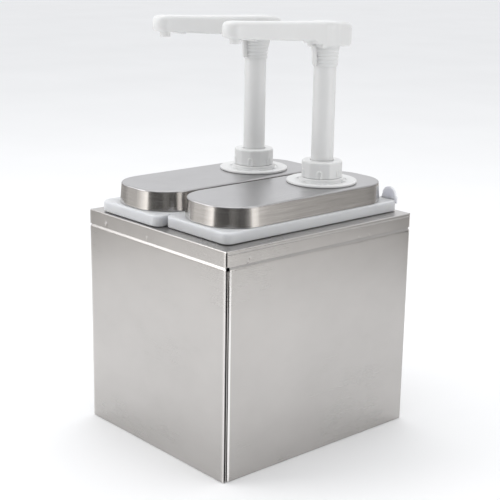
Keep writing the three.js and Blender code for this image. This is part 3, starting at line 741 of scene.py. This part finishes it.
# falls: how far the ring's inner edge, the seat's outer edge and the hub's foot stand below the ring's top
flange = {"radius": 37.5, "low": 33.7, "thick": 2.4, "hub": 23.3, "hubTop": 39.2, "bore": 17.3,
          "slot": (24.1, 26.9), "falls": (0.5, 0.4, 0.2), "ringRounds": (0.3, 0.4, 1.3, 0.4),
          "seatRounds": (0.2, 0.3, 0.4, 0.5, 0.7, 0.2), "web": 1.3, "webLap": 0.4, "webRound": 0.2,
          "bridges": 6, "bridgeTurn": 24, "bridgeHalf": 8.5, "bridgeLap": 0.6, "bridgeRound": 0.15,
          "boss": 0.7, "bossRadius": 2.1, "bossRoot": 0.6, "bossAt": 25.6, "bossRound": 0.9}


def makeFlange(side, centre):
    # turned profiles (r cos a, r sin a, z): the ring, the seat with its hub, and the slots' floor; then, at
    # even turns, bridges across the slots, each with a round boss
    low, high = flange["low"], flange["low"] + flange["thick"]
    inner, outer = flange["slot"]
    hub, hubTop, bore = flange["hub"], flange["hubTop"], flange["bore"]
    ringFall, seatFall, hubFall = flange["falls"]
    radius = flange["radius"]
    ring = softPath([(outer, low), (radius, low), (radius, high), (outer, high - ringFall)],
                    flange["ringRounds"], 5, True)
    seat = softPath([(bore, low), (inner, low), (inner, high - seatFall), (hub, high - hubFall),
                     (hub, hubTop), (bore, hubTop)], flange["seatRounds"], 4, True)
    begin, end, webTop = inner - flange["webLap"], outer + flange["webLap"], low + flange["web"]
    web = softPath([(begin, low), (end, low), (end, webTop), (begin, webTop)], flange["webRound"], 3, True)
    begin, end, bridgeTop = inner - flange["bridgeLap"], outer + flange["bridgeLap"], high - ringFall
    strip = softPath([(begin, low), (end, low), (end, bridgeTop), (begin, bridgeTop)], flange["bridgeRound"],
                     3, True)
    bossRadius, root = flange["bossRadius"], -flange["bossRoot"]
    dome = softPath([(0, root), (bossRadius, root), (bossRadius, flange["boss"]), (0, flange["boss"])],
                    [0, flange["bossRound"]], 5)
    shells = [revolve(ring, centre, 128), revolve(seat, centre, 96), revolve(web, centre, 96)]
    for i in range(flange["bridges"]):
        turn = math.radians(flange["bridgeTurn"] + i * 360 / flange["bridges"])
        half = math.radians(flange["bridgeHalf"])
        shells.append(sector(strip, centre, turn - half, turn + half))
        place = centre + [flange["bossAt"] * math.cos(turn), flange["bossAt"] * math.sin(turn), bridgeTop]
        shells.append(revolve(dome, place, 24, False))
    makePiece(side + "_pump_flange", shells, side + "_lid_and_pump", pumpPlastic,
              side + "_pump_flange")


# lip: how far the mouth's chamfer goes in and down; blunt: the facets' corners, as a share of the radius
nut = {"radius": 21.5, "low": 39.5, "high": 57, "bore": 19.3, "hole": 12.3, "lip": (0.6, 0.8), "roof": 2.5,
       "rounds": (0.3, 2.2, 0.5, 0.3), "spacing": 0.55, "count": 312, "sides": 12, "facetTurn": 8.5,
       "blunt": 0.9885, "flatTop": 0.01, "bosses": 6, "bossTurn": 8.5, "bossHeight": 6, "bossRadius": 2.1,
       "ridge": 0.9, "ridgeWidth": 0.62}


def makeNut(side, centre):
    # a turned wall whose radius is cut to facets, cos(half a facet) / cos(angle in the facet), and raised
    # along the finger ridges by ridge exp(-(distance / width)^2)
    low, high, radius = nut["low"], nut["high"], nut["radius"]
    lipIn, lipDown = nut["lip"]
    roof = high - nut["roof"]
    wall = softPath([(nut["bore"], low), (radius, low), (radius, high), (nut["hole"] + lipIn, high),
                     (nut["hole"], high - lipDown), (nut["hole"], roof)], nut["rounds"], 7)
    profile = np.vstack([densify(wall, nut["spacing"]), [(nut["bore"], roof)]])
    angles = np.linspace(0, 2 * np.pi, nut["count"], endpoint=False)[None, :]
    r, z = profile[:, :1], profile[:, 1:]
    facet = 2 * np.pi / nut["sides"]
    local = (angles - math.radians(nut["facetTurn"])) % facet - facet / 2
    flatness = np.minimum(np.cos(facet / 2) / np.cos(local), nut["blunt"])
    outside = np.clip((r - nut["bore"]) / (radius - nut["bore"]), 0, 1) * (z < high - nut["flatTop"])
    r = r * (1 - outside * (1 - flatness / nut["blunt"]))
    # the ridges are upside-down U shapes: a line up, an arch over and a line down
    step = 2 * np.pi / nut["bosses"]
    u = ((angles - math.radians(nut["bossTurn"]) + step / 2) % step - step / 2) * radius
    v = np.maximum(z - low - nut["bossHeight"], 0)
    away = np.abs(np.sqrt(u ** 2 + v ** 2) - nut["bossRadius"])
    r = r + nut["ridge"] * np.exp(-(away / nut["ridgeWidth"]) ** 2) * outside
    points = np.stack([r * np.cos(angles), r * np.sin(angles), z + 0 * r], -1)
    makePiece(side + "_collar_nut", [gridShell(points + centre, True, True)], side + "_lid_and_pump",
              pumpPlastic, side + "_collar_nut", 60)


# stop: the ball's stop inside the stem, (inner radius, lap into the wall, from, to) above its foot
stem = {"radius": 11.8, "bore": 8, "low": 28.3, "high": 179.6, "round": 0.5, "stop": (4.5, 0.1, 7.2, 10),
        "stopRound": 0.3}


def makeStem(side, centre):
    # two turned profiles: the tube and the stop inside it
    a, b, low, high = stem["radius"], stem["bore"], stem["low"], stem["high"]
    loop = softPath([(b, low), (a, low), (a, high), (b, high)], stem["round"], 4, True)
    inner, lap, begin, end = stem["stop"]
    lip = softPath([(inner, low + begin), (b + lap, low + begin), (b + lap, low + end), (inner, low + end)],
                   stem["stopRound"], 4, True)
    makePiece(side + "_pump_stem", [revolve(loop, centre, 96), revolve(lip, centre, 48)],
              side + "_head_and_stem", pumpPlastic, side + "_pump_stem")


# half widths of tail, hub and spout; edge, under: corner radii above and below; rearRound: width and height
# lost at the tail's end; topLine: height, slope and curves of the upper line, and the height it levels at
head = {"back": -28, "tipCentre": 126, "tip": 11, "tail": 12.4, "hub": 14.6, "spout": 11, "edge": 4.2,
        "under": 2.4, "rearRound": (5, 2.6), "neckLow": 155.6, "neckTop": 176.5, "narrowing": 30,
        "hubBlend": 12, "noseBlend": 2.6, "thinnest": 0.01, "fit": 0.96, "pastStep": 0.3,
        "hubStations": (-22, 20, 43), "spoutStations": (20, 126, 54),
        "topLine": (201.8, 0.01774, 0.00013, 0.0028, 205.9)}
# lowest line of the head: (forward of the stem, height)
headUnder = ((-28, 183), (-25, 175.5), (15.2, 175.5), (15.8, 178.4), (22, 180), (26.5, 183.4), (62, 184.8),
             (104.4, 188), (105, 186.6), (107, 186.7), (107.6, 188.2), (124, 189.2), (140, 189.4))


def headTop(s):
    # height + slope s + rise s^2 ahead of the stem - fall s^2 behind it, no higher than the level
    height, slope, rise, fall, level = head["topLine"]
    ahead, behind = np.maximum(s, 0), np.minimum(s, 0)
    return np.minimum(height + slope * s + rise * ahead ** 2 - fall * behind ** 2, level)


def headShell(centre):
    # rounded rectangles across the spout's line, from the tail's flat end to the tip's half round; the width
    # is (base^n + hub^n)^(1/n), which lets the round hub stand out of the straight sides
    under = np.array(headUnder)
    turns = np.linspace(0, np.pi / 2, 8)
    roundWidth, roundHeight = head["rearRound"]
    tail = head["back"] + roundWidth * (1 - np.cos(turns))
    steps = np.r_[under[2:-2, 0], under[3:6, 0] + head["pastStep"]]
    s = np.r_[tail, np.linspace(*head["hubStations"]), steps, np.linspace(*head["spoutStations"])]
    s = np.unique(np.round(s, 3))
    nose = head["tip"] * np.sin(np.linspace(0, np.pi / 2, 12))[1:]
    s = np.r_[s, head["tipCentre"] + nose]
    inRear = np.clip((s - head["back"]) / roundWidth, 0, 1)
    rear = 1 - np.sqrt(1 - (1 - inRear) ** 2)  # 1 at the flat end, 0 where the rounding ends
    wider = (head["tail"] - head["spout"]) * np.clip(1 - s / head["narrowing"], 0, 1)
    base = np.where(s < 0, head["tail"], head["spout"] + wider)
    hub = np.sqrt(np.maximum(head["hub"] ** 2 - s ** 2, 0))
    n = head["hubBlend"]
    width = (base ** n + hub ** n) ** (1 / n) - roundWidth * rear
    top, low = headTop(s), np.interp(s, under[:, 0], under[:, 1])
    end = np.clip((s - head["tipCentre"]) / head["tip"], 0, 1)
    width = np.where(end > 0, head["spout"] * np.sqrt(1 - end ** 2), width)
    middle, half = (top + low) / 2, (top - low) / 2 - roundHeight * rear
    n = head["noseBlend"]
    half = half * (1 - end ** n) ** (1 / n)
    rows = []
    for where, w, h, m in zip(s, width, half, middle):
        w, h = max(w, head["thinnest"]), max(h, head["thinnest"])
        r, u = (min(radius, head["fit"] * w, head["fit"] * h) for radius in (head["edge"], head["under"]))
        outline = roundedOutline(w, h, (r, r, u, u), 7, 5)
        rows.append(np.column_stack([outline[:, 0], np.full(len(outline), -where), outline[:, 1] + m]))
    rows = np.stack(rows)
    ends = rows[[0, -1]].mean(1, keepdims=True) + 0 * rows[[0, -1]]
    return gridShell(np.concatenate([ends[:1], rows, ends[1:]]) + centre, False, True)


neck = {"foot": 12.5, "top": 14, "rib": 0.75, "pitch": 3.7, "ribStart": 0.2, "ribShape": 0.6, "plain": 0.01,
        "slack": 0.25, "rows": 110, "web": 3, "webRound": 0.8, "webSpacing": 2.5}
# outlines of the webs: (away from the stem's axis, height)
frontWeb = ((8, 157), (17.6, 157.4), (18.2, 164), (18.7, 170), (19.8, 174.8), (19.8, 177.5), (8, 177.5))
rearWeb = (
    (8, 156), (12.4, 156.2), (13.4, 159), (16.3, 164), (18, 168), (19.4, 172), (19.9, 177.5), (8, 177.5))


def neckShells(centre):
    # a cone with ribs above its plain foot, foot + (top - foot) t + rib (|sin|^shape - 0.5), and thin webs
    # before and behind it
    low, high = head["neckLow"], head["neckTop"]
    z = np.linspace(low, high, neck["rows"])
    t = (z - low) / (high - low)
    wave = np.abs(np.sin(np.pi * (z - low - neck["ribStart"]) / neck["pitch"])) ** neck["ribShape"]
    r = neck["foot"] + (neck["top"] - neck["foot"]) * t + neck["rib"] * (wave - 0.5) * (t > neck["plain"])
    bore = stem["radius"] + neck["slack"]
    loop = np.vstack([[(bore, low)], np.column_stack([r, z]), [(bore, high)]])
    shells = [revolve(loop, centre, 96)]
    for web, direction in ((frontWeb, -1), (rearWeb, 1)):
        outline = densify(softPath(web, neck["webRound"], 4, True), neck["webSpacing"])
        outline = (outline * [direction, 1])[::direction]
        shells.append(plate(outline, centre, (0, 1, 0), (0, 0, 1), neck["web"], neck["webRound"]))
    return shells


def makeHead(side, centre):
    # the spout's shell with the neck's under it, as one moulding
    makePiece(side + "_pump_head", [headShell(centre), *neckShells(centre)], side + "_head_and_stem",
              pumpPlastic, side + "_pump_head", 48)


nozzle = {"forward": 124, "radius": 5.3, "low": 184.4, "bore": 2.7, "high": 190.5, "lead": (1.2, 0.4),
          "flare": 0.3, "rounds": (0.3, 0.4, 0.6, 0.1, 0.1)}


def makeNozzle(side, centre):
    # a turned profile with a chamfered mouth, a little wider where it enters the spout
    leadOut, leadUp = nozzle["lead"]
    low, high, radius, bore = nozzle["low"], nozzle["high"], nozzle["radius"], nozzle["bore"]
    loop = softPath([(bore, low + leadUp), (bore + leadOut, low), (radius, low),
                     (radius + nozzle["flare"], high), (bore, high)], nozzle["rounds"], 5, True)
    makePiece(side + "_spout_nozzle", [revolve(loop, centre - [0, nozzle["forward"], 0], 40)],
              side + "_head_and_stem", pumpPlastic, side + "_spout_nozzle")


# inside: how far into the bore the profile's two ends reach; round ridges stand in for the thread
barrel = {"radius": 17, "bore": 14.5, "head": 19, "low": -100, "shoulder": 39.5, "top": 52, "inside": (4, 6),
          "footRounds": (0.4, 1.2), "headRounds": (0.3, 0.3, 0.5, 0.5)}
barrelThread = {"crest": 0.7, "sunk": 0.75, "pitch": 3.5, "from": -12, "to": 30, "end": 31, "steps": 8}
lockRing = {"bore": 17.25, "radius": 22, "low": 24.1, "high": 32.1, "flutes": 18, "flute": 0.7,
            "rounds": (0.3, 0.9, 0.6, 0.3), "spacing": 1.5, "count": 144}
# the foot valve: radii, and heights counted from its seat
foot = {"seat": -100.3, "port": 4, "spigot": 6, "flange": 17, "plug": 14.2, "cage": 5, "pocket": 7.5,
        "taper": 0.6, "bottom": -23, "taperEnd": -20, "flangeFoot": -7.5, "plugTop": 12.5, "cageRoof": 10.5,
        "pocketFloor": 1.5, "cone": -2}
dipTube = {"radius": 8, "bore": 6.3, "low": -174, "high": -108.1}
insideRound = 0.4


def makeBarrelParts(side, centre):
    # turned profiles; the lock ring's radius falls in flutes by flute max(cos(flutes a), 0)^2
    def turned(name, loop, count=72):
        # one turned piece of the pump's body
        makePiece(f"{side}_{name}", [revolve(loop, centre, count)], side + "_lid_and_pump",
                  pumpPlastic, f"{side}_{name}")

    b, k, f, d = barrel, lockRing, foot, dipTube
    pitch = barrelThread["pitch"]
    height = np.arange(barrelThread["from"], barrelThread["to"], pitch / barrelThread["steps"])
    ridge = barrelThread["crest"] * np.maximum(np.cos(2 * np.pi * height / pitch), 0) - barrelThread["sunk"]
    threaded = np.column_stack([b["radius"] + ridge, height])
    footInside, headInside = b["inside"]
    lower = softPath([(b["bore"], b["low"] + footInside), (b["bore"], b["low"]), (b["radius"], b["low"]),
                      (b["radius"], b["low"] + footInside)], b["footRounds"], 4)
    upper = softPath([(b["radius"], barrelThread["end"]), (b["radius"], b["shoulder"]),
                      (b["head"], b["shoulder"]), (b["head"], b["top"]), (b["bore"], b["top"]),
                      (b["bore"], b["top"] - headInside)], b["headRounds"], 4)
    turned("pump_barrel", np.vstack([lower, threaded, upper]), 96)
    ring = softPath([(k["bore"], k["low"]), (k["radius"], k["low"]), (k["radius"], k["high"]),
                     (k["bore"], k["high"])], k["rounds"], 4, True)
    ring = densify(ring, k["spacing"])
    angles = np.linspace(0, 2 * np.pi, k["count"], endpoint=False)[None, :]
    r, z = ring[:, :1], ring[:, 1:]
    outside = np.clip(r - k["radius"] + 1, 0, 1)
    r = r - k["flute"] * outside * np.maximum(np.cos(k["flutes"] * angles), 0) ** 2
    points = np.stack([r * np.cos(angles), r * np.sin(angles), z + 0 * r], -1) + centre
    makePiece(side + "_lock_ring", [gridShell(points, True, True)], side + "_lid_and_pump",
              pumpPlastic, side + "_lock_ring")
    seat = f["seat"]
    valve = [
        (f["port"], seat + f["bottom"]), (f["spigot"] - f["taper"], seat + f["bottom"]),
        (f["spigot"], seat + f["taperEnd"]), (f["spigot"], seat + f["flangeFoot"]),
        (f["flange"], seat + f["flangeFoot"]), (f["flange"], seat), (f["plug"], seat),
        (f["plug"], seat + f["plugTop"]), (f["cage"], seat + f["plugTop"]), (f["cage"], seat + f["cageRoof"]),
        (f["pocket"], seat + f["cageRoof"]), (f["pocket"], seat + f["pocketFloor"]),
        (f["port"], seat + f["cone"])]
    turned("foot_valve", softPath(valve, insideRound, 4, True))
    turned("dip_tube", softPath([(d["bore"], d["low"]), (d["radius"], d["low"]), (d["radius"], d["high"]),
                                 (d["bore"], d["high"])], insideRound, 4, True), 48)


# coil: how far an end turn climbs; keep: the share of its length that is left when the pump is pressed
spring = {"radius": 11.2, "wire": 0.9, "turns": 9, "low": -86.6, "high": 20.8, "coil": 1.98, "steps": 28,
          "keep": 0.31}


def makeSpring(side, centre):
    # a helix (r cos a, r sin a, z): z climbs one coil over each end turn and evenly over the turns between
    turn = np.linspace(0, spring["turns"], spring["turns"] * spring["steps"] + 1)
    coils = np.minimum(turn, 1) + np.maximum(turn - spring["turns"] + 1, 0)
    climb = np.clip((turn - 1) / (spring["turns"] - 2), 0, 1)
    span = spring["high"] - spring["low"] - 2 * spring["coil"]
    height = spring["low"] + spring["coil"] * coils + span * climb
    angle = 2 * np.pi * turn
    path = np.stack([spring["radius"] * np.cos(angle), spring["radius"] * np.sin(angle), height], -1) + centre
    piece = makePiece(side + "_return_spring", [tubeAlong(path, spring["wire"], 12)], side + "_lid_and_pump",
                      innerSteel, side + "_return_spring", 60)
    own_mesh(piece)


for side in sides:
    axis = middleOf(side + "_pump_stem")
    makeFlange(side, axis)
    makeNut(side, axis)
    makeStem(side, axis)
    makeHead(side, axis)
    makeNozzle(side, axis)
    makeBarrelParts(side, axis)
    makeSpring(side, axis)
print("pumps made")

# CAD nodes that stay, each with its finish
kept = {"base_tray": housingSteel}
for side in sides:
    kept.update({side + "_stem_guide": pumpPlastic, side + "_piston": pumpPlastic,
                 side + "_piston_seal": sealRubber, side + "_inlet_ball": innerSteel,
                 side + "_outlet_ball": innerSteel})
for name, material in kept.items():
    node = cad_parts[name]
    node.data.materials.clear()
    node.data.materials.append(material)

table = {"half": 12, "below": 0.0005, "tones": ((0.91, 0.91, 0.91), (0.93, 0.93, 0.93)), "patches": (3, 3, 3),
         "dullness": 0.9}  # metres, and patches per metre


def makeFloor():
    # one flat square of faintly clouded pale card, just under the feet
    material, tree, shader = newMaterial("paleFloor", Roughness=table["dullness"])
    clouds = noiseOf(tree, table["patches"], 2, 0.5)
    tree.links.new(mixColours(tree, spread(tree, clouds, 0, 1), *table["tones"]), shader.inputs["Base Color"])
    data = bpy.data.meshes.new("floor")
    half = table["half"]
    data.from_pydata([(-half, -half, 0), (half, -half, 0), (half, half, 0), (-half, half, 0)], [],
                     [(0, 1, 2, 3)])
    data.materials.append(material)
    made = bpy.data.objects.new("floor", data)
    made.location.z = -table["below"]
    bpy.context.scene.collection.objects.link(made)


makeFloor()

# strengths of the surroundings, the cosines where one turns to the other, and the brightest direction
studio = {"dim": 0.44, "bright": 1.15, "cosines": (-0.3, 0.95), "towards": (-0.62, 0.3, 0.72),
          "tint": (0.97, 0.98, 1.0)}


def makeWorld():
    # soft surroundings: strength rises smoothly with the cosine to the brightest direction
    world = bpy.data.worlds.new("studio")
    bpy.context.scene.world = world
    world.use_nodes = True
    tree = world.node_tree
    direction = addNode(tree, "TexCoord").outputs["Generated"]
    towards = np.array(studio["towards"]) / np.linalg.norm(studio["towards"])
    cosine = addNode(tree, "VectorMath", {0: direction, 1: towards}, operation="DOT_PRODUCT").outputs["Value"]
    begin, end = studio["cosines"]
    span = {0: cosine, 1: begin, 2: end, 3: studio["dim"], 4: studio["bright"]}
    strength = addNode(tree, "MapRange", span, interpolation_type="SMOOTHSTEP").outputs[0]
    background = tree.nodes["Background"]
    background.inputs["Color"].default_value = (*studio["tint"], 1)
    tree.links.new(strength, background.inputs["Strength"])


makeWorld()

# screens and flags standing round the table, in metres; only polished surfaces see them
# stops: (degrees from +X, brightness)
screens = {"radius": 0.85, "height": 0.36, "panels": 96, "strength": 2.0, "tint": (1, 0.97, 0.94), "stops": (
    (-180, 0.45), (-152, 0.4), (-138, 0.6), (-123, 0.95), (-112, 1.25), (-102, 1.65), (-98.5, 1.6),
    (-96, 0.2), (-80, 0.11), (-58, 0.08), (-49, 0.2), (-42, 0.18), (-31, 0.1), (-14, 0.1), (-4, 0.22),
    (3, 0.5), (8, 1.3), (24, 1.15), (32, 0.62), (37, 0.48), (47, 0.36), (60, 0.32), (75, 0.4), (90, 0.55),
    (130, 0.5), (180, 0.45))}


def makeScreens():
    # an upright ring whose glow goes from stop to stop with the angle round the table, atan2(y, x)
    angles = np.linspace(0, 2 * np.pi, screens["panels"], endpoint=False)
    ring = screens["radius"] * np.stack([np.cos(angles), np.sin(angles), 0 * angles], -1)
    points, faces = gridShell(np.stack([ring, ring + [0, 0, screens["height"]]]), False, True)
    data = bpy.data.meshes.new("screens")
    data.from_pydata(points.tolist(), [], faces.tolist())
    made = bpy.data.objects.new("screens", data)
    bpy.context.scene.collection.objects.link(made)
    material = bpy.data.materials.new("screens")
    material.use_nodes = True
    tree = material.node_tree
    tree.nodes.remove(tree.nodes["Principled BSDF"])
    place = addNode(tree, "SeparateXYZ", {0: addNode(tree, "TexCoord").outputs["Object"]})
    angle = maths(tree, "ARCTAN2", place.outputs[1], place.outputs[0])
    share = remap(tree, angle, -math.pi, math.pi, 0, 1)
    ramp = addNode(tree, "ValToRGB", {0: share})
    stops = ramp.color_ramp.elements
    for degrees, _ in screens["stops"][1:-1]:
        stops.new((degrees + 180) / 360)
    for stop, (degrees, value) in zip(stops, screens["stops"]):
        stop.position = (degrees + 180) / 360
        stop.color = (*[value / screens["strength"] * t for t in screens["tint"]], 1)
    glow = addNode(tree, "Emission", {"Color": ramp.outputs[0], "Strength": screens["strength"]})
    tree.links.new(glow.outputs[0], tree.nodes["Material Output"].inputs["Surface"])
    data.materials.append(material)
    made.visible_camera = made.visible_diffuse = made.visible_shadow = made.visible_transmission = False


makeScreens()


def facing(right, above, back, place):
    # the matrix whose columns are three directions and a place
    rows = np.column_stack([right, above, back, place]).tolist()
    return Matrix(rows + [[0, 0, 0, 1]])


# metres, watts, and degrees from +X
lamps = {"leftBox": {"azimuth": -127, "distance": 1.7, "height": 0.85, "size": (1.0, 1.2), "power": 9},
         "rightBox": {"azimuth": 15, "distance": 1.7, "height": 0.45, "size": (0.9, 0.9), "power": 5},
         "overhead": {"azimuth": 90, "distance": 0.1, "height": 2.1, "size": (2.2, 2.2), "power": 13}}
lampAim = (0, 0, 0.25)


def areaLight(name, lamp):
    # stands at distance (cos a, sin a) and its height, and faces the aim
    data = bpy.data.lights.new(name, "AREA")
    data.shape, data.size, data.size_y = "RECTANGLE", *lamp["size"]
    data.energy = lamp["power"]
    light = bpy.data.objects.new(name, data)
    turn, distance = math.radians(lamp["azimuth"]), lamp["distance"]
    place = np.array([distance * math.cos(turn), distance * math.sin(turn), lamp["height"]])
    back = place - np.array(lampAim)
    back /= np.linalg.norm(back)
    overhead = abs(back[2]) > 0.99
    right = np.array([1.0, 0, 0]) if overhead else np.cross([0, 0, 1], back)
    right /= np.linalg.norm(right)
    light.matrix_world = facing(right, np.cross(back, right), back, place)
    light.visible_camera = False
    bpy.context.scene.collection.objects.link(light)


for name, lamp in lamps.items():
    areaLight(name, lamp)

# angles in radians, place in metres, sensor in millimetres; focal length in the frame's own units
camera = {"azimuth": 0.84380, "elevation": 0.26420, "roll": 0.01670, "focal": 1183.6295, "frame": 500,
          "place": (0.9234977, -0.8212259, 0.5268644), "sensor": 36}


def makeCamera():
    # looks along (-sin a cos e, cos a cos e, -sin e), with its level and upward directions rolled about it
    a, e, r = camera["azimuth"], camera["elevation"], camera["roll"]
    ahead = np.array([-math.sin(a) * math.cos(e), math.cos(a) * math.cos(e), -math.sin(e)])
    level = np.array([math.cos(a), math.sin(a), 0])
    above = np.cross(level, ahead)
    right = math.cos(r) * level + math.sin(r) * above
    up = -math.sin(r) * level + math.cos(r) * above
    data = bpy.data.cameras.new("camera")
    data.sensor_width = camera["sensor"]
    data.lens = camera["focal"] / camera["frame"] * camera["sensor"]
    made = bpy.data.objects.new("camera", data)
    made.matrix_world = facing(right, up, -ahead, camera["place"])
    bpy.context.scene.collection.objects.link(made)
    bpy.context.scene.camera = made


makeCamera()
bpy.context.scene.view_settings.view_transform = "Standard"
print("floor, light and camera made")
